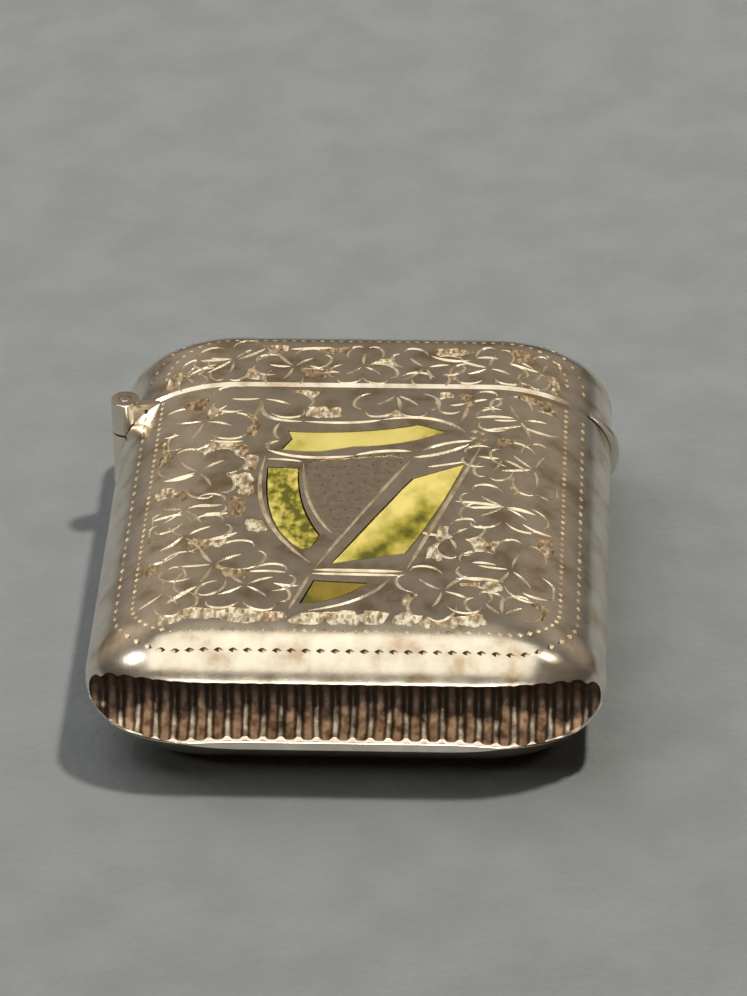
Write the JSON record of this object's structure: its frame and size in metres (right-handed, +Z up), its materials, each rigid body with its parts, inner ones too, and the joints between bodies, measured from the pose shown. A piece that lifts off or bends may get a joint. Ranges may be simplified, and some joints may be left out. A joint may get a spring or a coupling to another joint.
{
  "type": "vesta case",
  "caption": "Cushion-shaped silver vesta case with an engraved face, a harp of inlaid green marble, a side-hinged sprung lid with a thumb lip, and a fluted match striker across its end.",
  "frame": {"origin": "middle of the box, at the height of the flat back that the case lies on", "axes": "+X across the width towards the thumb lip, +Y along the length towards the lid, +Z up out of the engraved face"},
  "size_m": [0.0392, 0.0461, 0.012],
  "materials": {
    "silver": "polished silver, worn and softly marked",
    "striker_silver": "silver with brown patina in the flutes",
    "gilt_silver": "gilt silver, satin",
    "spring_steel": "blued spring steel",
    "marble": "polished yellow-green marble with dark green clouds",
    "cement": "dull jeweller's cement"
  },
  "bodies": {
    "body": {"body_front_shell": "silver", "body_back_shell": "silver", "striker_plate": "striker_silver", "mouth_collar": "gilt_silver", "body_knuckle_upper": "silver", "body_knuckle_lower": "silver", "hinge_pin": "silver", "lid_spring": "spring_steel", "spring_seat": "gilt_silver", "spring_rivet": "spring_steel", "neck_stone": "marble", "pillar_stone": "marble", "soundboard_stone": "marble", "foot_stone": "marble", "cement_bed": "cement", "stone_backplate": "gilt_silver"},
    "lid": {"lid_front_shell": "silver", "lid_back_shell": "silver", "lid_knuckle": "silver", "thumb_lip": "silver"}
  },
  "joints": [
    {"name": "lid_hinge", "type": "hinge", "parent": "body", "child": "lid", "pos_m": [-0.01855, 0.0125, 0.006], "axis": [0, 0, 1], "range_deg": [0, 95], "deforming": ["lid_spring"]}
  ]
}
